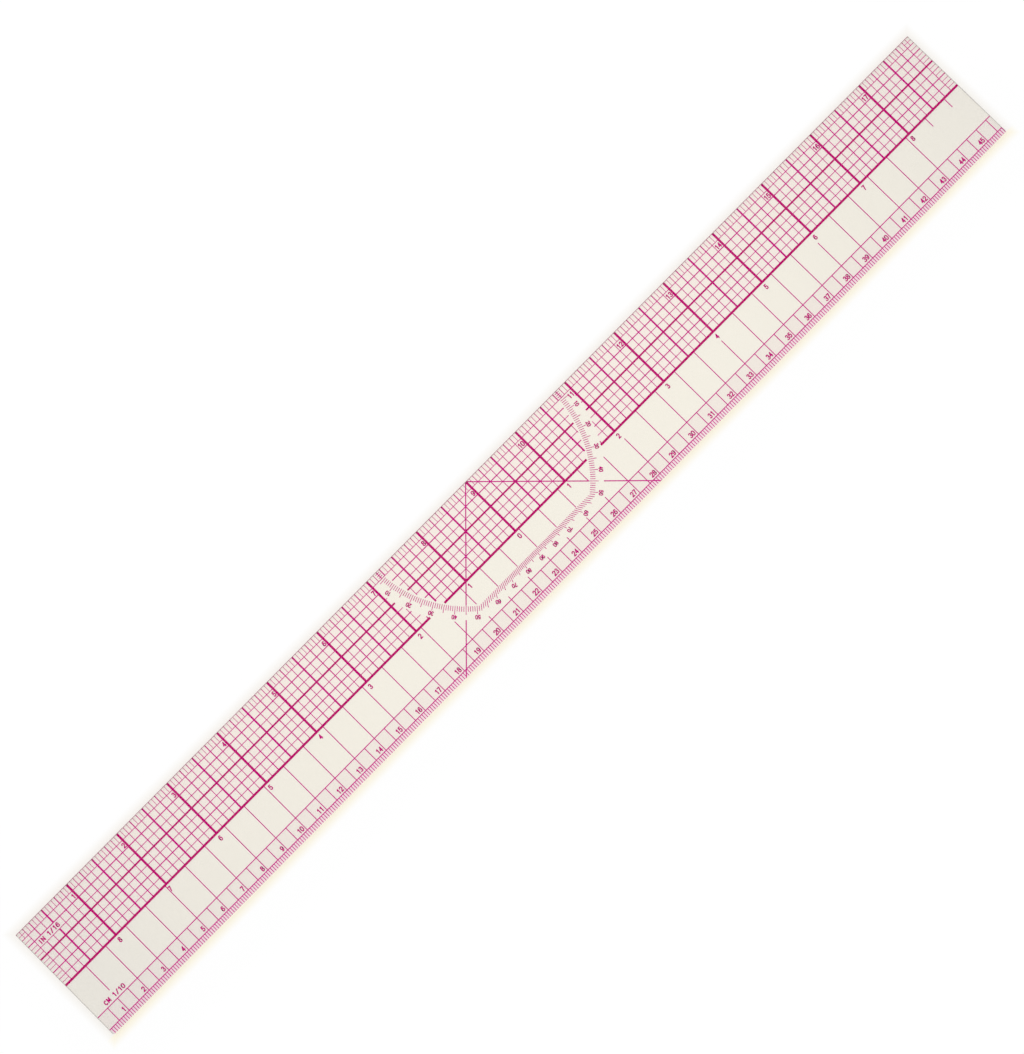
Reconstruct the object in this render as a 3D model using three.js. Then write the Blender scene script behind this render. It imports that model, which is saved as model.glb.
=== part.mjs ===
// Clear flexible grading ruler, 18 inches long, with the scales printed between two bonded plies.
// Millimetres. X runs along the ruler, Y points to the inch edge, Z is up from the underside.
// The origin is the middle of the underside.
// Marks are laid out as on the ruler itself: u is the distance from the left end, v from the inch edge.
import * as THREE from "three";

// The sheet
const LENGTH = 457.2;
const WIDTH = 50;
const PLY_THICKNESS = 0.35;
const CORNER_RADIUS = 0.3;

// The print: three thin passes of ink, lengthwise lines, crosswise lines and angle lines
const INK_THICKNESS = 0.02;

// Inch grid: squares of an eighth of an inch, in a band one inch wide along the inch edge
const INCH = 25.4;
const SQUARES_PER_INCH = 8;
const SQUARE = INCH / SQUARES_PER_INCH;

// Metric scale along the other edge, measured in from that edge
const CM = 10;
const MM_TICK = 2.25;
const LADDER_HEIGHT = 6.05;

// Widths of the printed lines
const HEAVY_LINE = 0.86;
const HALF_INCH_LINE = 0.65;
const QUARTER_INCH_LINE = 0.38;
const EIGHTH_INCH_LINE = 0.26;
const SIXTEENTH_LINE = 0.18;
const METRIC_LINE = 0.34;
const CM_LINE = 0.32;
const MM_LINE = 0.27;
const ANGLE_LINE = 0.4;

// Clear band round the degree marks, about a centre on the inch edge
const BAND_INNER_RADIUS = 44.4;
const BAND_WIDTH = 6.2;
const FLAT_BAND_WIDTH = 5.2;
const FLAT_BAND_TO_LADDER = 1.6;

// The two lines at 45 degrees stop at the degree marks and start again past them
const ANGLE_LINE_STOP = 44.6;
const ANGLE_LINE_GAP = 5.3;

// Windows kept clear for the unit labels, the numerals and the blank panel
const INCH_LABEL_LINES = [2, 3, 4];
const INCH_LABEL_ROW = 2;
const METRIC_LABEL_HEIGHT = 4;
const PANEL_LINES = 2;
const NUMERAL_ROW_DEPTH = 4.4;
const NUMERAL_CLEARANCE = 1.2;

// Longest stretch of a plain side between two points of a comb's mesh
const LONGEST_STEP = 10;

// Worked out from the sizes above
const HALF_CM = CM / 2;
const MM = CM / 10;
const LADDER_FOOT = WIDTH - MM_TICK;
const LADDER_TOP = LADDER_FOOT - LADDER_HEIGHT;
const LADDER_EDGE = LADDER_TOP - METRIC_LINE / 2;
const HEAVY_LINE_EDGE = INCH - HEAVY_LINE / 2;
const NUMERAL_ROW_FOOT = INCH + NUMERAL_ROW_DEPTH;
const CENTRE = Math.round(LENGTH / 2 / INCH) * INCH;
const BAND_OUTER_RADIUS = BAND_INNER_RADIUS + BAND_WIDTH;
const FLAT_BAND_FOOT = LADDER_TOP - FLAT_BAND_TO_LADDER;
const FLAT_BAND_TOP = FLAT_BAND_FOOT - FLAT_BAND_WIDTH;
const LAST_SQUARE = Math.floor(LENGTH / SQUARE - 0.5);
const LAST_CM = Math.floor(LENGTH / CM);
const FIRST_PASS = PLY_THICKNESS;
const SECOND_PASS = FIRST_PASS + INK_THICKNESS;
const THIRD_PASS = SECOND_PASS + INK_THICKNESS;
const COVER_LEVEL = THIRD_PASS + INK_THICKNESS;

const clearVinyl = () =>
  new THREE.MeshStandardMaterial({
    color: 0xeeeade,
    roughness: 0.25,
    metalness: 0,
    transparent: true,
    opacity: 0.3,
  });
const magentaInk = () => new THREE.MeshStandardMaterial({ color: 0xb20060, roughness: 0.5, metalness: 0 });

const count = (first, last) => Array.from({ length: Math.max(0, last - first + 1) }, (_, i) => first + i);

// How far a circle about the protractor's centre reaches at a given offset from it, or 0 outside it.
const reach = (radius, offset) => (Math.abs(offset) < radius ? Math.sqrt(radius ** 2 - offset ** 2) : 0);

// Solid ink on a plan given in (u, v): points, the order of the points round the outline, and the
// triangles that fill it.
function inkSolid({ points, outline, triangles }) {
  const plan = points.map(([u, v]) => [u - LENGTH / 2, WIDTH / 2 - v]);
  const doubleArea = (ring) =>
    ring.reduce((sum, a, i) => {
      const [p, q] = [plan[a], plan[ring[(i + 1) % ring.length]]];
      return sum + p[0] * q[1] - q[0] * p[1];
    }, 0);
  const leftTurning = (ring) => (doubleArea(ring) < 0 ? [...ring].reverse() : ring);
  const corners = [];
  const corner = (i, z) => corners.push(plan[i][0], plan[i][1], z);
  for (const [a, b, c] of triangles.map(leftTurning)) {
    for (const i of [a, b, c]) corner(i, INK_THICKNESS);
    for (const i of [a, c, b]) corner(i, 0);
  }
  leftTurning(outline).forEach((a, i, ring) => {
    const b = ring[(i + 1) % ring.length];
    corner(a, 0);
    corner(b, 0);
    corner(b, INK_THICKNESS);
    corner(a, 0);
    corner(b, INK_THICKNESS);
    corner(a, INK_THICKNESS);
  });
  const geometry = new THREE.BufferGeometry();
  geometry.setAttribute("position", new THREE.Float32BufferAttribute(corners, 3));
  geometry.computeVertexNormals();
  return geometry;
}

// A plan with few corners.
function patch(points) {
  const contour = points.map(([u, v]) => new THREE.Vector2(u, v));
  return {
    points,
    outline: points.map((_, i) => i),
    triangles: THREE.ShapeUtils.triangulateShape(contour, []),
  };
}

const bar = (uFrom, uTo, vFrom, vTo) =>
  patch([
    [uFrom, vFrom],
    [uTo, vFrom],
    [uTo, vTo],
    [uFrom, vTo],
  ]);

// The plan of a straight line along u or v with other lines standing off it on either side.
// Each tooth has its place along the spine, its width, and how far across it reaches.
function comb({ along, at, width, from, to, teeth }) {
  const points = [];
  const triangles = [];
  const add = (along_, across) => points.push([along_, across]) - 1;
  const half = width / 2;
  const fits = (t) =>
    t.at - t.width / 2 > from && t.at + t.width / 2 < to && Math.abs(t.to - at) > half;

  // One side of the spine: its points in order, and the outline over its teeth.
  function combSide(side) {
    const edge = at + side * half;
    const chain = [add(from, edge)];
    const outline = [...chain];
    const goTo = (end) => {
      const start = points[chain.at(-1)][0];
      const steps = Math.ceil((end - start) / LONGEST_STEP);
      for (const i of count(1, steps)) {
        chain.push(add(start + ((end - start) * i) / steps, edge));
        outline.push(chain.at(-1));
      }
    };
    const kept = teeth.filter((t) => fits(t) && Math.sign(t.to - at) === side);
    for (const t of kept.sort((a, b) => a.at - b.at)) {
      goTo(t.at - t.width / 2);
      const rootLeft = chain.at(-1);
      const tipLeft = add(t.at - t.width / 2, t.to);
      const tipRight = add(t.at + t.width / 2, t.to);
      const rootRight = add(t.at + t.width / 2, edge);
      chain.push(rootRight);
      outline.push(tipLeft, tipRight, rootRight);
      triangles.push([rootLeft, tipLeft, tipRight], [rootLeft, tipRight, rootRight]);
    }
    goTo(to);
    return { chain, outline };
  }

  const [low, high] = [combSide(-1), combSide(1)];
  const next = (chain, i) => (i + 1 < chain.length ? points[chain[i + 1]][0] : Infinity);
  let [i, j] = [0, 0];
  while (i + 1 < low.chain.length || j + 1 < high.chain.length) {
    const lowFirst = next(low.chain, i) <= next(high.chain, j);
    const ahead = lowFirst ? low.chain[i + 1] : high.chain[j + 1];
    triangles.push([low.chain[i], high.chain[j], ahead]);
    if (lowFirst) i += 1;
    else j += 1;
  }
  return {
    points: along === "u" ? points : points.map(([a, b]) => [b, a]),
    outline: [...low.outline, ...high.outline.reverse()],
    triangles,
  };
}

function gridLineWidth(k) {
  if (k % SQUARES_PER_INCH === 0) return HEAVY_LINE;
  if (k % (SQUARES_PER_INCH / 2) === 0) return HALF_INCH_LINE;
  if (k % (SQUARES_PER_INCH / 4) === 0) return QUARTER_INCH_LINE;
  return EIGHTH_INCH_LINE;
}

// The three stretches of the grid: left of the degree band, inside it and right of it.
// Each function gives a stretch's two ends at the distance v from the inch edge.
const STRETCHES = {
  left: (v) => [0, CENTRE - reach(BAND_OUTER_RADIUS, v)],
  centre: (v) => [CENTRE - reach(BAND_INNER_RADIUS, v), CENTRE + reach(BAND_INNER_RADIUS, v)],
  right: (v) => [CENTRE + reach(BAND_OUTER_RADIUS, v), LENGTH],
};

// First pass: a line of the grid along the ruler.
function lengthwiseLine(row, span) {
  const half = gridLineWidth(row) / 2;
  return bar(...span(row * SQUARE), row * SQUARE - half, row * SQUARE + half);
}

// First pass: the first line of the grid, with a tick to the edge at each odd sixteenth of an inch
// and the short lines above the inch label.
function sixteenthTicks(span) {
  const [from, to] = span(SQUARE);
  const ticks = count(0, LAST_SQUARE).map((k) => ({
    at: (k + 0.5) * SQUARE,
    width: SIXTEENTH_LINE,
    to: 0,
  }));
  const labelEdge = INCH_LABEL_ROW * SQUARE - gridLineWidth(INCH_LABEL_ROW) / 2;
  const overLabel = INCH_LABEL_LINES.flatMap((k) =>
    [0, labelEdge].map((end) => ({ at: k * SQUARE, width: gridLineWidth(k), to: end })),
  );
  return comb({ along: "u", at: SQUARE, width: EIGHTH_INCH_LINE, from, to, teeth: [...ticks, ...overLabel] });
}

// First pass: the line along the metric edge, with a tick to the edge at each millimetre.
function millimetreTicks() {
  const ticks = count(1, Math.floor(LENGTH / MM)).map((i) => ({ at: i * MM, width: MM_LINE, to: WIDTH }));
  return comb({ along: "u", at: LADDER_FOOT, width: METRIC_LINE, from: 0, to: LENGTH, teeth: ticks });
}

// Second pass: the cross line nearest an end of the ruler, with a tick to the end at each odd
// sixteenth of an inch.
function endTicks(k, end) {
  const ticks = count(0, SQUARES_PER_INCH - 1).map((row) => ({
    at: (row + 0.5) * SQUARE,
    width: SIXTEENTH_LINE,
    to: end,
  }));
  return comb({
    along: "v",
    at: k * SQUARE,
    width: gridLineWidth(k),
    from: 0,
    to: HEAVY_LINE_EDGE,
    teeth: ticks,
  });
}

// Second pass: the heavy inch line of one stretch, with the cross lines of the grid on one side
// and the centimetre lines on the other.
function crossLines(span) {
  const [from, to] = span(INCH);
  const gridLines = count(2, LAST_SQUARE - 1).map((k) => ({
    at: k * SQUARE,
    width: gridLineWidth(k),
    to: gridLineEnd(k),
  }));
  const cmLines = count(1, LAST_CM).map((c) => ({ at: c * CM, width: CM_LINE, to: cmLineEnd(c) }));
  return comb({
    along: "u",
    at: INCH,
    width: HEAVY_LINE,
    from,
    to,
    teeth: [...gridLines, ...cmLines],
  });
}

function gridLineEnd(k) {
  if (INCH_LABEL_LINES.includes(k)) return (INCH_LABEL_ROW + 1) * SQUARE;
  const outer = reach(BAND_OUTER_RADIUS, k * SQUARE - CENTRE);
  return outer < INCH ? outer : 0;
}

// Where a centimetre line that hangs from the heavy line stops. INCH means that it doesn't start there.
function cmLineEnd(c) {
  const inner = reach(BAND_INNER_RADIUS, c * CM - CENTRE);
  if (c === 1) return LADDER_TOP - METRIC_LABEL_HEIGHT;
  if (c > LAST_CM - PANEL_LINES) return NUMERAL_ROW_FOOT;
  if (inner > INCH) return Math.max(INCH, Math.min(inner, FLAT_BAND_TOP));
  return cmLineRestart(c) < LADDER_TOP ? INCH : LADDER_EDGE;
}

// Where an interrupted centimetre line starts again above the ladder. LADDER_TOP means that it doesn't.
function cmLineRestart(c) {
  const at = c * CM;
  const outer = reach(BAND_OUTER_RADIUS, at - CENTRE);
  if (outer > INCH) return Math.min(outer, FLAT_BAND_FOOT);
  const toInchLine = Math.abs(at - Math.round(at / INCH) * INCH);
  return at > CENTRE && toInchLine < NUMERAL_CLEARANCE ? NUMERAL_ROW_FOOT : LADDER_TOP;
}

// Second pass: cross lines inside the degree band that end on it before they reach the heavy line.
function shortCrossLines() {
  return count(1, LAST_SQUARE)
    .map((k) => ({
      k,
      inner: reach(BAND_INNER_RADIUS, k * SQUARE - CENTRE),
      outer: reach(BAND_OUTER_RADIUS, k * SQUARE - CENTRE),
    }))
    .filter(({ inner, outer }) => inner > SQUARE && inner < INCH && outer > INCH)
    .map(({ k, inner }) => {
      const half = gridLineWidth(k) / 2;
      return bar(k * SQUARE - half, k * SQUARE + half, 0, inner);
    });
}

// Second pass: the ladder's long line, its rungs at each half centimetre, and the centimetre lines
// that start again above it.
function metricLadder() {
  const rungs = count(1, Math.floor(LENGTH / HALF_CM)).map((i) => ({
    at: i * HALF_CM,
    width: CM_LINE,
    to: LADDER_FOOT,
  }));
  const pieces = count(1, LAST_CM).map((c) => ({ at: c * CM, width: CM_LINE, to: cmLineRestart(c) }));
  return comb({
    along: "u",
    at: LADDER_TOP,
    width: METRIC_LINE,
    from: 0,
    to: LENGTH,
    teeth: [...rungs, ...pieces],
  });
}

// Third pass: the lines at 45 degrees. SLANT is half a line's width, measured along the ruler.
const SLANT = ANGLE_LINE * Math.SQRT1_2;
const squareEnd = (radius, side) => [
  [CENTRE + side * (radius * Math.SQRT1_2 + SLANT / 2), radius * Math.SQRT1_2 - SLANT / 2],
  [CENTRE + side * (radius * Math.SQRT1_2 - SLANT / 2), radius * Math.SQRT1_2 + SLANT / 2],
];

function angleLines() {
  const [outerRight, innerRight] = squareEnd(ANGLE_LINE_STOP, 1);
  const [outerLeft, innerLeft] = squareEnd(ANGLE_LINE_STOP, -1);
  const crotch = [CENTRE, SLANT];
  return patch([
    [CENTRE - SLANT, 0],
    [CENTRE + SLANT, 0],
    outerRight,
    innerRight,
    crotch,
    innerLeft,
    outerLeft,
  ]);
}

function angleLineFoot(side) {
  const [outer, inner] = squareEnd(ANGLE_LINE_STOP + ANGLE_LINE_GAP, side);
  const atEdge = (offset) => [CENTRE + side * (WIDTH + offset), WIDTH];
  return patch([outer, atEdge(SLANT), atEdge(-SLANT), inner]);
}

// A clear sheet with slightly eased corners.
function ply() {
  const r = CORNER_RADIUS;
  const [x, y] = [LENGTH / 2, WIDTH / 2];
  const outline = new THREE.Shape();
  outline.moveTo(-x + r, -y);
  outline.lineTo(x - r, -y);
  outline.absarc(x - r, -y + r, r, -Math.PI / 2, 0);
  outline.lineTo(x, y - r);
  outline.absarc(x - r, y - r, r, 0, Math.PI / 2);
  outline.lineTo(-x + r, y);
  outline.absarc(-x + r, y - r, r, Math.PI / 2, Math.PI);
  outline.lineTo(-x, -y + r);
  outline.absarc(-x + r, -y + r, r, Math.PI, 1.5 * Math.PI);
  return new THREE.ExtrudeGeometry(outline, { depth: PLY_THICKNESS, bevelEnabled: false, curveSegments: 3 });
}

function piece(name, geometry, material, level) {
  const mesh = new THREE.Mesh(geometry, material);
  mesh.name = name;
  mesh.position.z = level;
  return mesh;
}

// A place on the inch as a name, such as 3_8 for three eighths.
function fractionName(squares) {
  const divisor = (a, b) => (b ? divisor(b, a % b) : a);
  const shared = divisor(squares, SQUARES_PER_INCH);
  return `${squares / shared}_${SQUARES_PER_INCH / shared}`;
}

const sheets = new THREE.Group();
sheets.add(piece("base_ply", ply(), clearVinyl(), 0));
sheets.add(piece("cover_ply", ply(), clearVinyl(), COVER_LEVEL));

const print = new THREE.Group();
const ink = (name, plan, level) => print.add(piece(name, inkSolid(plan), magentaInk(), level));
for (const [side, span] of Object.entries(STRETCHES)) {
  ink(`sixteenth_ticks_${side}`, sixteenthTicks(span), FIRST_PASS);
  for (const row of count(2, SQUARES_PER_INCH - 1))
    ink(`line_${fractionName(row)}_inch_${side}`, lengthwiseLine(row, span), FIRST_PASS);
  ink(`cross_lines_${side}`, crossLines(span), SECOND_PASS);
}
ink("end_ticks_left", endTicks(1, 0), SECOND_PASS);
ink("end_ticks_right", endTicks(LAST_SQUARE, LENGTH), SECOND_PASS);
shortCrossLines().forEach((plan, i) => ink(`short_cross_line_${i + 1}`, plan, SECOND_PASS));
ink("millimetre_ticks", millimetreTicks(), FIRST_PASS);
ink("metric_ladder", metricLadder(), SECOND_PASS);
ink("angle_lines", angleLines(), THIRD_PASS);
ink("angle_line_foot_left", angleLineFoot(-1), THIRD_PASS);
ink("angle_line_foot_right", angleLineFoot(1), THIRD_PASS);

const group = new THREE.Group();
group.add(sheets, print);
export default group;
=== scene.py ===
"""Looks of a clear flexible grading ruler: two vinyl plies with magenta print between them.

Lengths are in metres, in the ruler's own frame: +X along the scales, +Y to the inch edge,
+Z up out of the reading face, and the origin in the middle of the underside.
"""

import math

import bpy
from bpy.props import FloatProperty, FloatVectorProperty, PointerProperty
from mathutils import Matrix, Vector


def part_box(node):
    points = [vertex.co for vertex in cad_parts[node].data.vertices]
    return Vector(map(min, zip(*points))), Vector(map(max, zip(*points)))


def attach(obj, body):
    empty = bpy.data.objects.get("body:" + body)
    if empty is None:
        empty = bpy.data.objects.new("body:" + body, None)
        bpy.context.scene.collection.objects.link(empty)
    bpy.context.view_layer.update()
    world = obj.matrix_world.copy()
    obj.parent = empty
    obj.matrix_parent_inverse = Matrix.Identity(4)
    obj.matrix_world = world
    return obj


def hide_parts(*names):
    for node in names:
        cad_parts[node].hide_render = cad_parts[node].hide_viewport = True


bl_info = {
    "name": "Grading ruler looks",
    "version": (1, 0, 0),
    "blender": (4, 5, 0),
    "location": "View3D > Sidebar > Ruler",
    "description": "Dresses the plies and the print of a clear grading ruler and lights it on a table",
    "category": "Object",
}

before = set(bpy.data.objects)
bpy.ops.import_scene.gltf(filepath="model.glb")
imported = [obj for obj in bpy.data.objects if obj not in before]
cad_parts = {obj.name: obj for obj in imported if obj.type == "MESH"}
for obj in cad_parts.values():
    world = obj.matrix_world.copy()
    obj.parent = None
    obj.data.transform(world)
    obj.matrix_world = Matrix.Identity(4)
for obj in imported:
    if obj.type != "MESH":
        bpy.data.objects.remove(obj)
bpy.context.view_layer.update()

MM = 0.001
INCH = 25.4 * MM
BASE_LOW, BASE_HIGH = (Vector(corner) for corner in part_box("base_ply"))
COVER_LOW, COVER_HIGH = (Vector(corner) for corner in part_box("cover_ply"))
# The print lies in three passes: lengthwise, crosswise, and the angle lines with all loose marks.
TOP_PASS_LOW, TOP_PASS_HIGH = (corner[2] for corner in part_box("angle_lines"))
PASS_HEIGHT = TOP_PASS_HIGH - TOP_PASS_LOW
INCH_EDGE = BASE_HIGH.y
METRIC_EDGE = BASE_LOW.y
MILLIMETRE_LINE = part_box("millimetre_ticks")[1][1]
LADDER_HEIGHT = 6.05 * MM
LADDER_TOP = MILLIMETRE_LINE + LADDER_HEIGHT
LEFT_END = BASE_LOW.x
RIGHT_END = BASE_HIGH.x
PLIES = ("base_ply", "cover_ply")
INCHES = round((RIGHT_END - LEFT_END) / INCH)
CENTRE_X = LEFT_END + INCH * INCHES / 2
CENTIMETRES = int((RIGHT_END - LEFT_END) / (10 * MM))


class PrintSizes(bpy.types.PropertyGroup):
    """Sizes of the numerals, the degree marks and the unit marks."""

    numeral_height: FloatProperty(
        name="Numeral height", description="Height over all of the inch and centimetre numerals",
        default=2.13 * MM, unit="LENGTH", precision=5)
    degree_numeral_height: FloatProperty(
        name="Degree numeral height", description="Height over all of the protractor's numerals",
        default=1.7 * MM, unit="LENGTH", precision=5)
    unit_mark_height: FloatProperty(
        name="Unit mark height", description="Height over all of the unit marks",
        default=1.95 * MM, unit="LENGTH", precision=5)
    pen: FloatProperty(
        name="Pen width", description="Width of the strokes that draw the numerals",
        default=0.42 * MM, unit="LENGTH", precision=5)
    degree_pen: FloatProperty(
        name="Degree pen width", description="Width of the strokes of the protractor's numerals",
        default=0.37 * MM, unit="LENGTH", precision=5)
    unit_pen: FloatProperty(
        name="Unit pen width", description="Width of the strokes of the unit marks",
        default=0.43 * MM, unit="LENGTH", precision=5)
    degree_tick: FloatProperty(
        name="Degree tick width", description="Width of one degree tick",
        default=0.245 * MM, unit="LENGTH", precision=5)
    inch_row: FloatProperty(
        name="Inch row", description="Depth of the inch numerals' centre line below the inch edge",
        default=4.9 * MM, unit="LENGTH", precision=5)
    centre_row: FloatProperty(
        name="Centre row", description="Depth of the numerals that count from the middle",
        default=27.6 * MM, unit="LENGTH", precision=5)
    metric_row: FloatProperty(
        name="Metric row", description="Depth of the centimetre numerals",
        default=46.05 * MM, unit="LENGTH", precision=5)
    beside_line: FloatProperty(
        name="Beside line", description="From a numeral's right side to the middle of its line",
        default=0.5 * MM, unit="LENGTH", precision=5)
    arc_radius: FloatProperty(
        name="Arc radius", description="Radius on which the degree ticks stand",
        default=45.0 * MM, unit="LENGTH", precision=5)
    arc_floor: FloatProperty(
        name="Arc floor", description="Depth of the straight line that cuts off the protractor",
        default=35.0 * MM, unit="LENGTH", precision=5)
    degree_numeral_radius: FloatProperty(
        name="Degree numeral radius", description="Radius of the numerals' centres along the arc",
        default=49.05 * MM, unit="LENGTH", precision=5)
    degree_numeral_floor: FloatProperty(
        name="Degree numeral floor", description="Depth of the numerals' centres along the floor",
        default=38.9 * MM, unit="LENGTH", precision=5)


class RulerColours(bpy.types.PropertyGroup):
    """Colours of the ink, the vinyl, its cut edges and the table."""

    ink: FloatVectorProperty(
        name="Ink", description="Magenta screen ink", subtype="COLOR", size=3,
        min=0, max=1, default=(0.50, 0.0, 0.14))
    ink_thin: FloatVectorProperty(
        name="Thin ink", description="The ink of fine lines, where the screen laid less of it",
        subtype="COLOR", size=3, min=0, max=1, default=(0.62, 0.0, 0.26))
    vinyl: FloatVectorProperty(
        name="Vinyl", description="Light that the clear vinyl scatters back", subtype="COLOR",
        size=3, min=0, max=1, default=(0.95, 0.90, 0.76))
    vinyl_warm: FloatVectorProperty(
        name="Warm vinyl", description="The vinyl where it has yellowed a little more",
        subtype="COLOR", size=3, min=0, max=1, default=(0.94, 0.88, 0.72))
    # Painted shade: the vinyl is painted greyer towards its ends, as if less light reached them.
    vinyl_grey: FloatVectorProperty(
        name="Grey vinyl", description="The vinyl towards its ends, where it looks greyer",
        subtype="COLOR", size=3, min=0, max=1, default=(0.67, 0.65, 0.63))
    vinyl_filter: FloatVectorProperty(
        name="Vinyl filter", description="Light that one face of the vinyl lets through",
        subtype="COLOR", size=3, min=0, max=1, default=(0.985, 0.971, 0.932))
    cut_edge: FloatVectorProperty(
        name="Cut edge", description="Frosted grey of the knife cut edges", subtype="COLOR",
        size=3, min=0, max=1, default=(0.34, 0.31, 0.30))
    # Partly the ticks' ink in the cut and partly painted shade, which darkens the inch edge.
    inked_edge: FloatVectorProperty(
        name="Inked edge", description="The inch edge, where the ticks' ends show in the cut",
        subtype="COLOR", size=3, min=0, max=1, default=(0.38, 0.14, 0.20))
    # Painted light: the metric edge is painted pale and warm, as a glow where light would leave the
    # vinyl.
    lit_edge: FloatVectorProperty(
        name="Lit edge", description="The metric edge, painted pale and warm",
        subtype="COLOR", size=3, min=0, max=1, default=(0.95, 0.90, 0.80))
    table: FloatVectorProperty(
        name="Table", description="White table top", subtype="COLOR", size=3, min=0, max=1,
        default=(0.98, 0.98, 0.98))
    # Painted light: the warm rim that light leaving the vinyl would throw on the table.
    table_warm: FloatVectorProperty(
        name="Warm table", description="The table beside the metric edge, painted warm",
        subtype="COLOR", size=3, min=0, max=1, default=(0.93, 0.88, 0.735))
    # Painted shade on the table close to the inch edge and the ends.
    table_shade: FloatVectorProperty(
        name="Table in shade", description="The table close to the inch edge and the ends",
        subtype="COLOR", size=3, min=0, max=1, default=(0.80, 0.76, 0.71))


class StageSizes(bpy.types.PropertyGroup):
    """Where the camera and the table top are, and how strong the even light is."""

    lens: FloatProperty(
        name="Lens", description="Focal length on a 36 mm sensor", default=65.0, unit="CAMERA")
    eye: FloatVectorProperty(
        name="Eye", description="Place of the camera", subtype="XYZ", unit="LENGTH", size=3,
        default=(-18.64 * MM, -25.26 * MM, 685.71 * MM), precision=5)
    aim: FloatVectorProperty(
        name="Aim", description="Point in the middle of the picture", subtype="XYZ",
        unit="LENGTH", size=3, default=(0.15 * MM, 1.58 * MM, 0.0), precision=5)
    roll: FloatProperty(
        name="Roll", description="Direction on the ruler of the picture's right side",
        subtype="ANGLE", default=math.radians(-45.327))
    table_drop: FloatProperty(
        name="Table drop", description="Air under a flexible ruler that doesn't lie quite flat",
        default=0.5 * MM, unit="LENGTH", precision=5)
    table_width: FloatProperty(
        name="Table width", description="Width of the table top", default=6.0, unit="LENGTH")
    table_glow: FloatProperty(
        name="Table glow", description="Share of the table's white that takes no shadow",
        subtype="FACTOR", min=0, max=1, default=0.7)
    sky: FloatProperty(
        name="Sky", description="Strength of the even light from all round", default=0.81)


class Signal:
    """An output socket of a node tree. Arithmetic on it adds Math nodes."""

    def __init__(self, tree, socket):
        self.tree = tree
        self.socket = socket

    def maths(self, operation, *terms):
        return self.tree.node("ShaderNodeMath", {"operation": operation}, dict(enumerate(terms)))

    def __add__(self, other):
        return self.maths("ADD", self, other)

    def __sub__(self, other):
        return self.maths("SUBTRACT", self, other)

    def __rsub__(self, other):
        return self.maths("SUBTRACT", other, self)

    def __mul__(self, other):
        return self.maths("MULTIPLY", self, other)

    def __pow__(self, other):
        return self.maths("POWER", self, other)

    def __lt__(self, other):
        return self.maths("LESS_THAN", self, other)

    def __gt__(self, other):
        return self.maths("GREATER_THAN", self, other)

    def __abs__(self):
        return self.maths("ABSOLUTE", self)

    def upto(self, other):
        return self.maths("MINIMUM", self, other)

    def atleast(self, other):
        return self.maths("MAXIMUM", self, other)

    def swing(self, reach):
        """Goes up to the reach and back down again, over and over."""
        return self.maths("PINGPONG", self, reach)

    __radd__ = __add__
    __rmul__ = __mul__


class Finish:
    """A material or world whose nodes are added one call at a time."""

    def __init__(self, owner):
        owner.use_nodes = True
        self.owner = owner
        self.nodes = owner.node_tree.nodes
        self.links = owner.node_tree.links
        self.nodes.clear()

    def node(self, kind, settings=None, inputs=None, output=0):
        """Adds a node, sets it up, joins its inputs and gives one of its outputs."""
        made = self.nodes.new(kind)
        for name, value in (settings or {}).items():
            setattr(made, name, value)
        for name, value in (inputs or {}).items():
            socket = made.inputs[name]
            if isinstance(value, Signal):
                self.links.new(value.socket, socket)
            else:
                socket.default_value = value
        return Signal(self, made.outputs[output]) if made.outputs else None

    def colour_mix(self, factor, first, second):
        """Goes from the first colour to the second as the factor goes from 0 to 1."""
        return self.node(
            "ShaderNodeMix", {"data_type": "RGBA"},
            {"Factor": factor, 6: opaque(first), 7: opaque(second)}, output=2)

    def noise(self, place, scale, detail=2.0):
        return self.node(
            "ShaderNodeTexNoise", {}, {"Vector": place, "Scale": scale, "Detail": detail})

    def place(self):
        return self.node("ShaderNodeTexCoord", output="Object")

    def across(self, place):
        """The place's three coordinates, each as a signal of its own."""
        split = self.nodes.new("ShaderNodeSeparateXYZ")
        self.links.new(place.socket, split.inputs[0])
        return [Signal(self, socket) for socket in split.outputs]

    def surface(self, shader):
        kind = "ShaderNodeOutputWorld" if isinstance(self.owner, bpy.types.World) else (
            "ShaderNodeOutputMaterial")
        self.node(kind, {}, {"Surface": shader})
        return self.owner


def opaque(colour):
    """A colour of three numbers as one of four, or a signal as it is."""
    return colour if isinstance(colour, Signal) else (*colour, 1.0)


def ink_finish(name, colours, least=0.0):
    """Screen ink: full in the heavy lines, thinner and pinker in fine ones, with a fine grain."""
    grain_scale, patch_scale, unevenness = 5200.0, 120.0, 0.3
    heavy_reach, half_reach = 0.5 * MM, 0.4 * MM
    inch_ink, half_inch_ink, half_long_ink = 0.75, 0.3, 0.8
    finish = Finish(bpy.data.materials.new(name))
    place = finish.place()
    x, y = finish.across(place)[:2]
    from_left = x - LEFT_END
    in_grid = y > depth(INCH + heavy_reach)
    inch_line = (from_left.swing(INCH / 2) < heavy_reach) * in_grid
    half_inch_line = (from_left.swing(INCH / 4) < half_reach) * in_grid
    long_line = abs(y - depth(INCH)) < half_reach
    half_long_line = abs(y - depth(INCH / 2)) < half_reach
    full = (inch_line * inch_ink).atleast(long_line).atleast(least)
    full = full.atleast(half_inch_line * half_inch_ink).atleast(half_long_line * half_long_ink)
    grain = finish.noise(place, grain_scale, 3.0)
    patches = finish.noise(place, patch_scale)
    thin = 1.0 - full + (grain + patches - 1.0) * unevenness
    shader = finish.node("ShaderNodeBsdfPrincipled", {}, {
        "Base Color": finish.colour_mix(thin, colours.ink, colours.ink_thin),
        "Roughness": 0.6,
        "Specular IOR Level": 0.0,
    })
    return finish.surface(shader)


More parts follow.
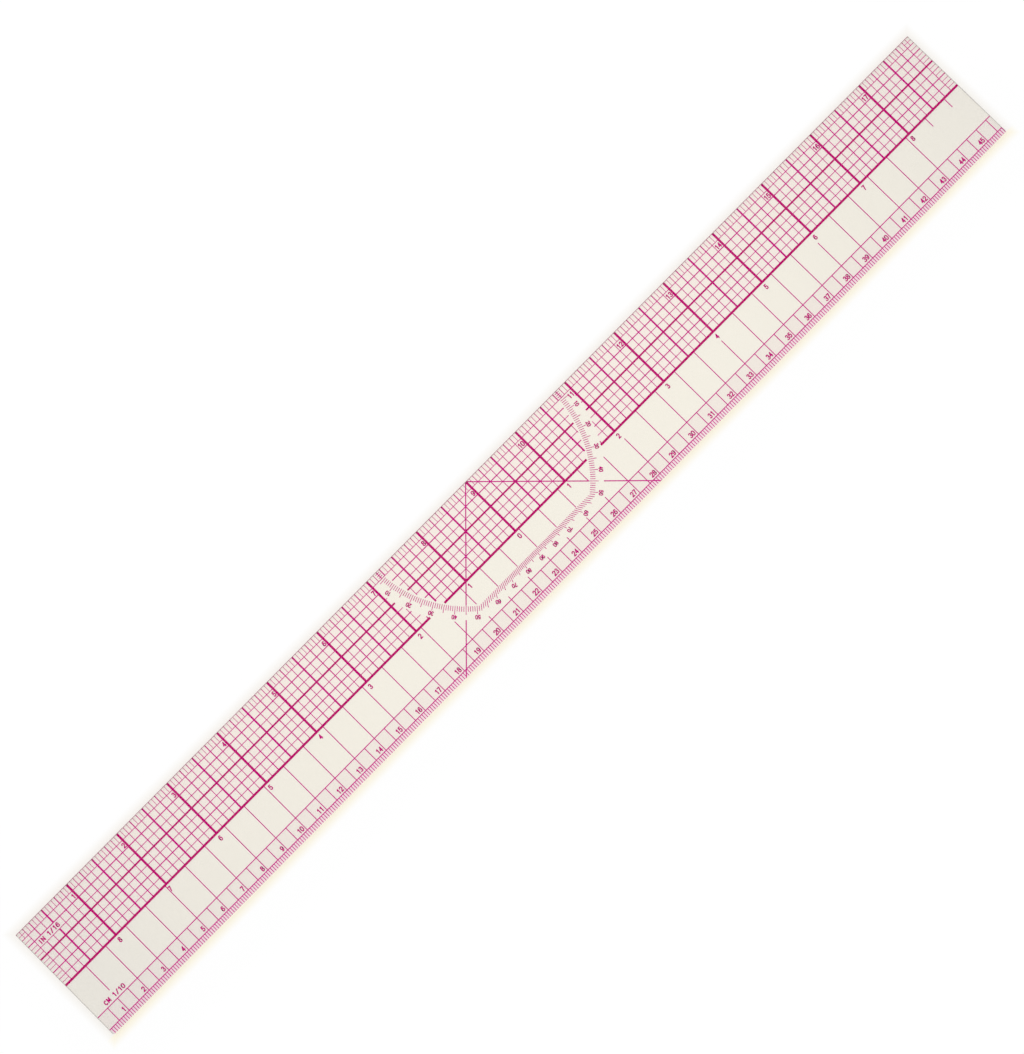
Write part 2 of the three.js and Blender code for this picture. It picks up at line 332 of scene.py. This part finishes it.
def tinted_vinyl_finish(colours):
    """Clear vinyl with a faint warm tint: mostly see-through, with a little scattered light."""
    haze, cloud_haze, end_shade_haze, cloud_scale = 0.10, 0.03, 0.1, 22.0
    clear_middle, clear_reach, fade = 15 * MM, 55 * MM, 180 * MM
    finish = Finish(bpy.data.materials.new("tinted_vinyl"))
    place = finish.place()
    clouds = finish.noise(place, cloud_scale)
    away = abs(finish.across(place)[0] - clear_middle) - clear_reach
    # Painted shade: past the clear middle the vinyl is painted greyer and hazier towards both ends.
    end_shade = ((away * (1 / fade)).atleast(0.0) ** 1.2).upto(1.0)
    clean = finish.colour_mix(clouds, colours.vinyl, colours.vinyl_warm)
    body = finish.node("ShaderNodeBsdfPrincipled", {}, {
        "Base Color": finish.colour_mix(end_shade, clean, colours.vinyl_grey),
        "Roughness": 0.5,
        "Specular IOR Level": 0.0,
    })
    through = finish.node("ShaderNodeBsdfTransparent", {}, {"Color": opaque(colours.vinyl_filter)})
    cloudy = clouds * cloud_haze + end_shade * end_shade_haze + (haze - cloud_haze / 2)
    mixed = finish.node("ShaderNodeMixShader", {}, {"Fac": cloudy, 1: through, 2: body})
    return finish.surface(mixed)


def gloss_finish():
    """The smooth outer skin of the cover: a reflection that grows at low angles, and hairline wear."""
    straight_on, ripple_scale, ripple_height = 0.01, 35.0, 0.2 * MM
    wear_scale, wear_stretch, wear_above, wear_gloss = 900.0, (1.0, 0.06, 1.0), 0.72, 0.006
    finish = Finish(bpy.data.materials.new("vinyl_gloss"))
    place = finish.place()
    facing = finish.node("ShaderNodeLayerWeight", {}, {"Blend": 0.5}, output="Facing")
    stretched = finish.node(
        "ShaderNodeVectorMath", {"operation": "MULTIPLY"}, {0: place, 1: wear_stretch})
    wear = (finish.noise(stretched, wear_scale, 4.0) > wear_above) * wear_gloss
    ripples = finish.noise(place, ripple_scale)
    bump = finish.node("ShaderNodeBump", {}, {"Height": ripples, "Distance": ripple_height})
    shader = finish.node("ShaderNodeBsdfPrincipled", {}, {
        "Base Color": (0.96, 0.96, 0.95, 1.0),
        "Metallic": 1.0,
        "Roughness": 0.3,
        "Alpha": (facing ** 5.0) * (1.0 - straight_on) + straight_on + wear,
        "Normal": bump,
    })
    return finish.surface(shader)


def clear_finish():
    """The inner face of the cover, which only the glue line shows."""
    speck_scale, speck_above, speck_haze, haze = 2600.0, 0.78, 0.01, 0.004
    finish = Finish(bpy.data.materials.new("bonded_vinyl"))
    specks = (finish.noise(finish.place(), speck_scale, 3.0) > speck_above) * speck_haze
    shader = finish.node("ShaderNodeBsdfPrincipled", {}, {
        "Base Color": (0.9, 0.88, 0.82, 1.0),
        "Roughness": 0.5,
        "Alpha": specks + haze,
    })
    return finish.surface(shader)


def cut_edge_finish(colours):
    """Edges left by the knife, with fine drag lines: grey at the ends, pinkish and dark along the inch
    side, where the ticks end in the cut and painted shade darkens it, and bright along the metric
    side, with a painted glow where light would come out.
    """
    drag_scale, drag_stretch, drag_height, reach = 3200.0, (1, 1, 0.1), 0.03 * MM, 0.5 * MM
    frost, drag_frost, inked_shade_frost, lit_frost = 0.28, 0.2, 0.5, 0.2
    finish = Finish(bpy.data.materials.new("knife_cut_edge"))
    place = finish.place()
    stretched = finish.node(
        "ShaderNodeVectorMath", {"operation": "MULTIPLY"}, {0: place, 1: drag_stretch})
    drag = finish.noise(stretched, drag_scale, 3.0)
    bump = finish.node("ShaderNodeBump", {}, {"Height": drag, "Distance": drag_height})
    y = finish.across(place)[1]
    # By place: painted shade and more opacity along the inch side, a painted glow and less opacity
    # along the metric side.
    lit = y < METRIC_EDGE + reach
    inked = y > INCH_EDGE - reach
    pale = tuple(0.5 + 0.5 * level for level in colours.cut_edge)
    frosted = finish.colour_mix(drag * 0.5, colours.cut_edge, pale)
    dark = finish.colour_mix(inked * 0.9, frosted, colours.inked_edge)
    shader = finish.node("ShaderNodeBsdfPrincipled", {}, {
        "Base Color": finish.colour_mix(lit, dark, colours.lit_edge),
        "Roughness": 0.45,
        "Alpha": drag * drag_frost + inked * inked_shade_frost - lit * lit_frost + frost,
        "Normal": bump,
    })
    return finish.surface(shader)


def table_finish(colours, glow):
    """White table top, with tones painted on it by place: painted light and painted shadow, not light
    that the ruler throws.

    What the camera sees of it is part an even glow, and the rest takes shadows. Beside the metric edge
    it is painted warm, as painted light leaving the vinyl, beside the other edges a little darker, as
    painted shade, and well away from the ruler no shadow is left. Under the ruler it is all glow, so
    that fine print stays sharp: a pale grey that is the vinyl's painted shadow, painted pinker under
    the grid, the ladder and the millimetre ticks as the ink's painted shadow.
    """
    warm_reach, shadow_reach, shadow_fade, strength = 4.5 * MM, 12 * MM, 25 * MM, 1.08
    other_edges = 0.5
    band_middle, band_half = 47.5 * MM, 3.1 * MM
    # Painted shadow under the ruler: a pale grey for the vinyl's shadow, pinker under the grid, the
    # ladder and the millimetre ticks for the ink's shadow.
    plain, vinyl_painted_shadow, grid_painted_shadow = (0.94, 0.94, 0.94), (0.878, 0.87, 0.858), (0.895, 0.838, 0.85)
    ladder_painted_shadow, ticks_painted_shadow = (0.85, 0.805, 0.82), (0.89, 0.71, 0.835)
    finish = Finish(bpy.data.materials.new("white_table"))
    x, y = finish.across(finish.place())[:2]
    away = (abs(x) - RIGHT_END).atleast(abs(y) - INCH_EDGE)
    # Painted light beside the metric edge and painted shade beside the other edges, fading within a few
    # millimetres.
    near = (1.0 - (away * (1 / warm_reach)) ** 2.0).atleast(0.0) * (away > 0.0)
    warm_side = y < METRIC_EDGE
    warm = (near ** 2.0) * (warm_side * (1.0 - other_edges) + other_edges)
    beside = finish.colour_mix(warm_side, colours.table_shade, colours.table_warm)
    below = away < 0.0
    from_hub = ((x - CENTRE_X) ** 2.0 + (y - INCH_EDGE) ** 2.0) ** 0.5
    off_band = abs(from_hub - band_middle) > band_half
    # The painted shadow under the ruler changes by region of the print.
    painted_shadow_below = finish.colour_mix((y > depth(INCH)) * off_band, vinyl_painted_shadow, grid_painted_shadow)
    painted_shadow_below = finish.colour_mix(y < LADDER_TOP, painted_shadow_below, ladder_painted_shadow)
    painted_shadow_below = finish.colour_mix(y < MILLIMETRE_LINE, painted_shadow_below, ticks_painted_shadow)
    clear = ((away - shadow_reach) * (1 / shadow_fade)).atleast(0.0).upto(1.0)
    lit = finish.node("ShaderNodeBsdfPrincipled", {}, {
        "Base Color": finish.colour_mix(warm, colours.table, colours.table_warm),
        "Roughness": 0.8,
        "Specular IOR Level": 0.0,
    })
    open_table = finish.colour_mix(warm, plain, beside)
    glow_colour = finish.colour_mix(below, open_table, painted_shadow_below)
    white = finish.node("ShaderNodeEmission", {}, {"Color": glow_colour, "Strength": strength})
    share = (clear * (1.0 - glow) + glow).atleast(below)
    mixed = finish.node(
        "ShaderNodeMixShader", {}, {"Fac": seen_by_eye(finish) * share, 1: lit, 2: white})
    return finish.surface(mixed)


def seen_by_eye(finish):
    """1 for rays from the camera, from gloss and through glass, and 0 for rays of light."""
    path = finish.nodes.new("ShaderNodeLightPath")
    names = ("Is Camera Ray", "Is Glossy Ray", "Is Transmission Ray")
    camera, gloss, glass = (Signal(finish, path.outputs[name]) for name in names)
    return (camera + gloss + glass).upto(1.0)


class Solid:
    """Points and faces of one mesh object, gathered bit by bit."""

    def __init__(self):
        self.points = []
        self.faces = []
        self.finishes = []

    def add(self, points, faces, finish=0):
        start = len(self.points)
        self.points.extend(points)
        self.faces.extend([start + index for index in face] for face in faces)
        self.finishes.extend([finish] * len(faces))

    def band(self, middle, half_widths, low, high):
        """A flat ribbon from z = low to z = high along a row of points."""
        rails = []
        for index, point in enumerate(middle):
            before = middle[max(index - 1, 0)]
            after = middle[min(index + 1, len(middle) - 1)]
            along = (after - before).normalized()
            side = Vector((-along.y, along.x)) * half_widths[index]
            rails.append((point + side, point - side))
        points = [(*spot, z) for pair in rails for z in (low, high) for spot in pair]
        faces = []
        for index in range(len(rails) - 1):
            a, b = 4 * index, 4 * index + 4
            faces.append((a, b, b + 1, a + 1))
            faces.append((a + 3, b + 3, b + 2, a + 2))
            faces.append((a + 2, b + 2, b, a))
            faces.append((a + 1, b + 1, b + 3, a + 3))
        last = 4 * len(rails) - 4
        faces.append((0, 1, 3, 2))
        faces.append((last, last + 2, last + 3, last + 1))
        self.add(points, faces)

    def stroke(self, path, width, low, high):
        """A pen stroke with round ends."""
        half = width / 2
        angles = [math.radians(angle) for angle in (80, 55, 28)]
        start = (path[0] - path[1]).normalized()
        end = (path[-1] - path[-2]).normalized()
        middle = [path[0] + start * half * math.sin(angle) for angle in angles]
        middle += path
        middle += [path[-1] + end * half * math.sin(angle) for angle in reversed(angles)]
        caps = [half * math.cos(angle) for angle in angles]
        self.band(middle, caps + [half] * len(path) + caps[::-1], low, high)

    def bar(self, start, end, width, low, high):
        """A straight line with square ends."""
        self.band([start, end], [width / 2] * 2, low, high)

    def object(self, name, *finishes):
        mesh = bpy.data.meshes.new(name)
        mesh.from_pydata([tuple(point) for point in self.points], [], self.faces)
        for finish in finishes:
            mesh.materials.append(finish)
        mesh.polygons.foreach_set("material_index", self.finishes)
        mesh.validate()
        mesh.update()
        made = bpy.data.objects.new(name, mesh)
        bpy.context.scene.collection.objects.link(made)
        return made


def arc(x, y, across, up, start, end):
    """Points of part of an oval about (x, y), from one angle in degrees to another."""
    steps = max(3, round(abs(end - start) / 20))
    turns = [math.radians(start + (end - start) * step / steps) for step in range(steps + 1)]
    return [(x + across * math.cos(turn), y + up * math.sin(turn)) for turn in turns]


SIX = [arc(0.5, 0.31, 0.5, 0.31, 180, 540), [(0, 0.31)] + arc(0.56, 0.44, 0.56, 0.56, 180, 52)]
GLYPHS = {
    "0": [arc(0.5, 0.7, 0.5, 0.3, 180, 0) + arc(0.5, 0.3, 0.5, 0.3, 0, -180) + [(0, 0.7)]],
    "1": [[(0.22, 0.8), (0.6, 1)], [(0.6, 1), (0.6, 0)]],
    "2": [arc(0.5, 0.71, 0.48, 0.29, 168, -38) + [(0, 0)], [(0, 0), (1, 0)]],
    "3": [arc(0.47, 0.755, 0.43, 0.245, 155, -90), arc(0.48, 0.255, 0.5, 0.255, 90, -155)],
    "4": [[(0.74, 0), (0.74, 1)], [(0.74, 1), (0, 0.3)], [(0, 0.3), (1, 0.3)]],
    "5": [[(0.9, 1), (0.17, 1)], [(0.17, 1), (0.08, 0.52)], arc(0.48, 0.33, 0.5, 0.33, 143, -155)],
    "6": SIX,
    "7": [[(0, 1), (1, 1)], [(1, 1), (0.55, 0.45), (0.36, 0)]],
    "8": [arc(0.5, 0.765, 0.43, 0.235, 0, 360), arc(0.5, 0.265, 0.5, 0.265, 0, 360)],
    "9": [[(1 - x, 1 - y) for x, y in path] for path in SIX],
    "I": [[(0.5, 0), (0.5, 1)]],
    "N": [[(0, 0), (0, 1)], [(0, 1), (1, 0)], [(1, 0), (1, 1)]],
    "C": [arc(0.52, 0.5, 0.52, 0.5, 48, 312)],
    "M": [[(0, 0), (0, 1)], [(0, 1), (0.5, 0.2)], [(0.5, 0.2), (1, 1)], [(1, 1), (1, 0)]],
    "/": [[(0.1, -0.05), (0.9, 1.05)]],
    " ": [],
}
GLYPH_SHAPE = 0.5
GLYPH_PITCH = 0.585
# Strokes of one character overlap, so each is this much thinner below and above than the last.
STROKE_STEP = 0.001 * MM


def letter(solid, words, at, height, pen, up=Vector((0, 1)), side="centre", spread=1.0):
    """Draws plain characters about a point. Side says whether it is their middle or their right."""
    tall = height - pen
    wide = tall * GLYPH_SHAPE * spread
    pitch = height * GLYPH_PITCH * spread
    length = pitch * (len(words) - 1) + wide
    along = Vector((up.y, -up.x))
    back = length + pen / 2 if side == "right" else length / 2
    corner = at - along * back - up * (tall / 2)
    for place, glyph in enumerate(words):
        for order, path in enumerate(GLYPHS[glyph]):
            points = [
                corner + along * (pitch * place + wide * x) + up * (tall * y) for x, y in path]
            sunk = order * STROKE_STEP
            solid.stroke(points, pen, TOP_PASS_LOW + sunk, TOP_PASS_HIGH - sunk)


def inch_place(inches):
    return LEFT_END + INCH * inches


def depth(distance):
    """The y of a line that lies this far below the inch edge."""
    return INCH_EDGE - distance


def dress(piece, slot, *nodes):
    """Fastens a piece to the ruler's body and hides the CAD nodes it stands for. The slot is not used.
    """
    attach(piece, "root")
    if nodes:
        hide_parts(*nodes)


def ink(name="line_ink", least=0.0):
    """An ink material, made when it is first asked for."""
    found = bpy.data.materials.get(name)
    return found or ink_finish(name, bpy.context.scene.ruler_colours, least)


def printed(solid, name, finish):
    """Turns gathered strokes into a piece of print."""
    if not solid.faces:
        raise RuntimeError(f"{name} has no strokes")
    dress(solid.object(name, finish), "magenta_ink")


def numeral_ink():
    """Numerals hold more ink than fine lines do."""
    return ink("numeral_ink", 0.5)


CORNER_RADIUS = 0.3 * MM
EDGE_EASE = 0.08 * MM
PRINT_CLEARANCE = 0.004 * MM


def rounded_outline(low, high, inset, radius, z, steps=4):
    """Corner points of a rectangle with round corners, all at one height."""
    points = []
    corners = ((high.x, high.y, 0), (low.x, high.y, 90), (low.x, low.y, 180), (high.x, low.y, 270))
    small = max(radius - inset, radius * 0.2)
    for x, y, start in corners:
        toward_x = 1 if x == high.x else -1
        toward_y = 1 if y == high.y else -1
        centre_x = x - toward_x * (inset + small)
        centre_y = y - toward_y * (inset + small)
        for step in range(steps + 1):
            turn = math.radians(start + 90 * step / steps)
            points.append((centre_x + small * math.cos(turn), centre_y + small * math.sin(turn), z))
    return points


def sheet_solid(low, high, corner_radius, ease, rim):
    """A flat sheet with eased edges. Its faces have finish 0 below, 1 above and 2 round the edge.

    The easing is this high, and the rim that it leaves on the upper face is this wide.
    """
    turns = [math.radians(angle) for angle in (90, 60, 30, 0)]
    profile = []
    for turn in reversed(turns):
        profile.append((ease * (1 - math.sin(turn)), low.z + ease * (1 - math.cos(turn))))
    for turn in turns:
        profile.append((rim * (1 - math.sin(turn)), high.z - ease * (1 - math.cos(turn))))
    solid = Solid()
    rings = [rounded_outline(low, high, inward, corner_radius, z) for inward, z in profile]
    count = len(rings[0])
    solid.add([point for ring in rings for point in ring], [])
    walls = []
    for level in range(len(rings) - 1):
        for index in range(count):
            after = (index + 1) % count
            a, b = level * count, (level + 1) * count
            walls.append([a + index, a + after, b + after, b + index])
    top = (len(rings) - 1) * count
    solid.faces = [list(range(count))[::-1], list(range(top, top + count))] + walls
    solid.finishes = [0, 1] + [2] * len(walls)
    return solid


class RULER_OT_base_ply(bpy.types.Operator):
    """Models the lower vinyl sheet, which carries the tint"""

    bl_idname = "ruler.base_ply"
    bl_label = "Base ply"

    def execute(self, context):
        colours = context.scene.ruler_colours
        tint = tinted_vinyl_finish(colours)
        high = BASE_HIGH - Vector((0, 0, PRINT_CLEARANCE))
        solid = sheet_solid(BASE_LOW, high, CORNER_RADIUS, EDGE_EASE, rim=EDGE_EASE)
        piece = solid.object("base_sheet", tint, tint, cut_edge_finish(colours))
        dress(piece, "clear_vinyl", "base_ply")
        return {"FINISHED"}


class RULER_OT_cover_ply(bpy.types.Operator):
    """Models the upper vinyl sheet, which carries the gloss"""

    bl_idname = "ruler.cover_ply"
    bl_label = "Cover ply"

    def execute(self, context):
        low = COVER_LOW + Vector((0, 0, PRINT_CLEARANCE))
        solid = sheet_solid(low, COVER_HIGH, CORNER_RADIUS, EDGE_EASE, rim=0.25 * MM)
        edge = bpy.data.materials["knife_cut_edge"]
        piece = solid.object("cover_sheet", clear_finish(), gloss_finish(), edge)
        dress(piece, "clear_vinyl", "cover_ply")
        return {"FINISHED"}


class RULER_OT_line_work(bpy.types.Operator):
    """Inks the grid, the ladder, the ticks and the angle lines"""

    bl_idname = "ruler.line_work"
    bl_label = "Line work"

    def execute(self, context):
        lines = [node for name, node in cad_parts.items() if name not in PLIES]
        if not lines:
            raise RuntimeError("the frame holds no printed lines")
        for node in lines:
            node.data.materials.clear()
            node.data.materials.append(ink())
        return {"FINISHED"}


class RULER_OT_inch_numerals(bpy.types.Operator):
    """Prints the numerals of the inch scale"""

    bl_idname = "ruler.inch_numerals"
    bl_label = "Inch numerals"

    def execute(self, context):
        sizes = context.scene.ruler_print
        solid = Solid()
        for inches in range(1, INCHES):
            at = Vector((inch_place(inches) - sizes.beside_line, depth(sizes.inch_row)))
            letter(solid, str(inches), at, sizes.numeral_height, sizes.pen, side="right")
        printed(solid, "inch_numerals", numeral_ink())
        return {"FINISHED"}


class RULER_OT_centre_numerals(bpy.types.Operator):
    """Prints the inches counted both ways from the middle"""

    bl_idname = "ruler.centre_numerals"
    bl_label = "Centre numerals"

    def execute(self, context):
        left_of_line = 0.17 * MM
        sizes = context.scene.ruler_print
        solid = Solid()
        for inches in range(1, INCHES):
            at = Vector((inch_place(inches) - left_of_line, depth(sizes.centre_row)))
            words = str(abs(inches - INCHES // 2))
            letter(solid, words, at, sizes.numeral_height, sizes.pen)
        printed(solid, "centre_numerals", numeral_ink())
        return {"FINISHED"}


class RULER_OT_metric_numerals(bpy.types.Operator):
    """Prints the numerals of the centimetre scale"""

    bl_idname = "ruler.metric_numerals"
    bl_label = "Metric numerals"

    def execute(self, context):
        sizes = context.scene.ruler_print
        solid = Solid()
        for centimetre in range(1, CENTIMETRES + 1):
            x = LEFT_END + centimetre * 10 * MM - sizes.beside_line
            at = Vector((x, depth(sizes.metric_row)))
            letter(solid, str(centimetre), at, sizes.numeral_height, sizes.pen, side="right")
        printed(solid, "metric_numerals", numeral_ink())
        return {"FINISHED"}


class RULER_OT_protractor(bpy.types.Operator):
    """Prints the degree ticks, their numerals, and the inch scale's ticks where the arc crosses it"""

    bl_idname = "ruler.protractor"
    bl_label = "Protractor"

    ruled_degrees = (45, 135)
    ruled_tick_start = 44.63 * MM
    arc_tick_ends = {1: 46.92 * MM, 5: 48.05 * MM, 10: 48.05 * MM}
    floor_tick_ends = {1: 36.9 * MM, 5: 37.8 * MM, 10: 37.8 * MM}
    short_ticks = {1.75 * INCH: 0.42 * MM, 1.8125 * INCH: 0.36 * MM,
                   1.875 * INCH: 0.26 * MM, 1.9375 * INCH: 0.2 * MM}
    short_tick_depth = 3.175 * MM
    bridge_width = 0.26 * MM
    bridge_nodes = (("sixteenth_ticks_left", "sixteenth_ticks_centre"),
                    ("sixteenth_ticks_centre", "sixteenth_ticks_right"))

    def execute(self, context):
        sizes = context.scene.ruler_print
        self.ticks(sizes)
        self.numerals(sizes)
        self.edge_ticks()
        return {"FINISHED"}

    def ticks(self, sizes):
        solid = Solid()
        hub = Vector((CENTRE_X, INCH_EDGE))
        for degree in range(1, 180):
            rank = max(step for step in self.arc_tick_ends if degree % step == 0)
            slope = math.sin(math.radians(degree))
            ray = Vector((math.cos(math.radians(degree)), -slope))
            start = self.ruled_tick_start if degree in self.ruled_degrees else sizes.arc_radius
            near, far = start, self.arc_tick_ends[rank]
            if sizes.arc_radius * slope > sizes.arc_floor:
                near, far = sizes.arc_floor / slope, self.floor_tick_ends[rank] / slope
            solid.bar(hub + ray * near, hub + ray * far, sizes.degree_tick, TOP_PASS_LOW, TOP_PASS_HIGH)
        printed(solid, "degree_ticks", ink())

    def numerals(self, sizes):
        solid = Solid()
        hub = Vector((CENTRE_X, INCH_EDGE))
        for degree in range(10, 180, 10):
            slope = math.sin(math.radians(degree))
            ray = Vector((math.cos(math.radians(degree)), -slope))
            reach = sizes.degree_numeral_radius
            if sizes.arc_radius * slope > sizes.arc_floor:
                reach = sizes.degree_numeral_floor / slope
            words = str(min(degree, 180 - degree))
            letter(
                solid, words, hub + ray * reach, sizes.degree_numeral_height, sizes.degree_pen, up=ray)
        printed(solid, "degree_numerals", numeral_ink())

    def edge_ticks(self):
        solid = Solid()
        for side in (-1, 1):
            for distance, width in self.short_ticks.items():
                x = CENTRE_X + side * distance
                start, end = Vector((x, INCH_EDGE)), Vector((x, depth(self.short_tick_depth)))
                solid.bar(start, end, width, TOP_PASS_LOW - PASS_HEIGHT, TOP_PASS_LOW)
        low = TOP_PASS_LOW - 2 * PASS_HEIGHT
        for left, right in self.bridge_nodes:
            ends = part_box(left)[1][0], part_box(right)[0][0]
            start, end = (Vector((x, depth(self.short_tick_depth))) for x in ends)
            solid.bar(start, end, self.bridge_width, low, low + PASS_HEIGHT)
        printed(solid, "arc_end_ticks", ink())


class RULER_OT_unit_marks(bpy.types.Operator):
    """Prints what each scale counts: sixteenths of an inch and tenths of a centimetre"""

    bl_idname = "ruler.unit_marks"
    bl_label = "Unit marks"

    marks = {"IN 1/16": (8.9 * MM, 7.95 * MM), "CM 1/10": (10.2 * MM, 39.95 * MM)}

    def execute(self, context):
        sizes = context.scene.ruler_print
        solid = Solid()
        for words, (along, down) in self.marks.items():
            letter(
                solid, words, Vector((LEFT_END + along, depth(down))), sizes.unit_mark_height,
                sizes.unit_pen, spread=1.25)
        printed(solid, "unit_marks", numeral_ink())
        return {"FINISHED"}


class RULER_OT_stage(bpy.types.Operator):
    """Sets up the camera, the lamp, the even light and the white table top"""

    bl_idname = "ruler.stage"
    bl_label = "Stage"

    key_place, key_size, key_brightness = (20, 848, 530), (1400, 700), 0.25

    def execute(self, context):
        sizes = context.scene.ruler_stage
        self.camera(context.scene, sizes)
        self.table(context.scene, sizes)
        self.lamp("key_lamp", self.key_place, self.key_size, self.key_brightness)
        self.sky(context.scene, sizes.sky)
        context.scene.view_settings.view_transform = "Standard"
        return {"FINISHED"}

    def camera(self, scene, sizes):
        eye, aim = Vector(sizes.eye), Vector(sizes.aim)
        backward = (eye - aim).normalized()
        right = Vector((math.cos(sizes.roll), math.sin(sizes.roll), 0))
        right = (right - backward * right.dot(backward)).normalized()
        up = backward.cross(right)
        data = bpy.data.cameras.new("camera")
        data.lens = sizes.lens
        data.sensor_width = 36.0
        data.clip_end = 20.0
        data.clip_start = 0.01
        made = bpy.data.objects.new("camera", data)
        scene.collection.objects.link(made)
        turn = Matrix((right, up, backward)).transposed()
        made.matrix_world = Matrix.Translation(eye) @ turn.to_4x4()
        scene.camera = made

    def table(self, scene, sizes):
        half = sizes.table_width / 2
        solid = Solid()
        corners = ((-half, -half), (half, -half), (half, half), (-half, half))
        solid.add([(x, y, -sizes.table_drop) for x, y in corners], [(0, 1, 2, 3)])
        solid.object("table_top", table_finish(scene.ruler_colours, sizes.table_glow))

    def lamp(self, name, place, size, brightness):
        """A soft panel of light, its place and size in millimetres.

        Its brightness is about what white paper in the middle shows by it.
        """
        place = Vector(place) * MM
        data = bpy.data.lights.new(name, "AREA")
        data.shape = "RECTANGLE"
        data.size, data.size_y = (side * MM for side in size)
        distance = place.length
        data.energy = brightness * math.pi ** 2 * distance ** 3 / place.z
        made = bpy.data.objects.new(name, data)
        made.location = place
        made.rotation_euler = place.to_track_quat("Z", "Y").to_euler()
        made.visible_camera = False
        bpy.context.scene.collection.objects.link(made)

    def sky(self, scene, strength):
        in_gloss = 0.7
        world = bpy.data.worlds.new("even_light")
        finish = Finish(world)
        path = finish.nodes.new("ShaderNodeLightPath")
        camera, gloss = (Signal(finish, path.outputs[f"Is {ray} Ray"]) for ray in ("Camera", "Glossy"))
        light = finish.node("ShaderNodeBackground", {}, {
            "Color": (1, 1, 1, 1),
            "Strength": camera * (1.0 - strength) + gloss * (in_gloss - strength) + strength})
        finish.surface(light)
        scene.world = world


class RULER_PT_pieces(bpy.types.Panel):
    """Lists what can be made for the ruler"""

    bl_idname = "RULER_PT_pieces"
    bl_label = "Grading ruler"
    bl_space_type = "VIEW_3D"
    bl_region_type = "UI"
    bl_category = "Ruler"

    def draw(self, context):
        for operator in OPERATORS:
            self.layout.operator(operator.bl_idname)


OPERATORS = (
    RULER_OT_stage,
    RULER_OT_line_work,
    RULER_OT_base_ply,
    RULER_OT_cover_ply,
    RULER_OT_inch_numerals,
    RULER_OT_centre_numerals,
    RULER_OT_metric_numerals,
    RULER_OT_protractor,
    RULER_OT_unit_marks,
)
GROUPS = {"ruler_print": PrintSizes, "ruler_colours": RulerColours, "ruler_stage": StageSizes}


def register():
    for group in GROUPS.values():
        bpy.utils.register_class(group)
    for name, group in GROUPS.items():
        setattr(bpy.types.Scene, name, PointerProperty(type=group))
    for kind in (*OPERATORS, RULER_PT_pieces):
        bpy.utils.register_class(kind)


def unregister():
    for kind in reversed((*OPERATORS, RULER_PT_pieces)):
        bpy.utils.unregister_class(kind)
    for name in GROUPS:
        delattr(bpy.types.Scene, name)
    for group in GROUPS.values():
        bpy.utils.unregister_class(group)


def main():
    register()
    for operator in OPERATORS:
        group, name = operator.bl_idname.split(".")
        getattr(getattr(bpy.ops, group), name)()


if __name__ == "__main__":
    main()
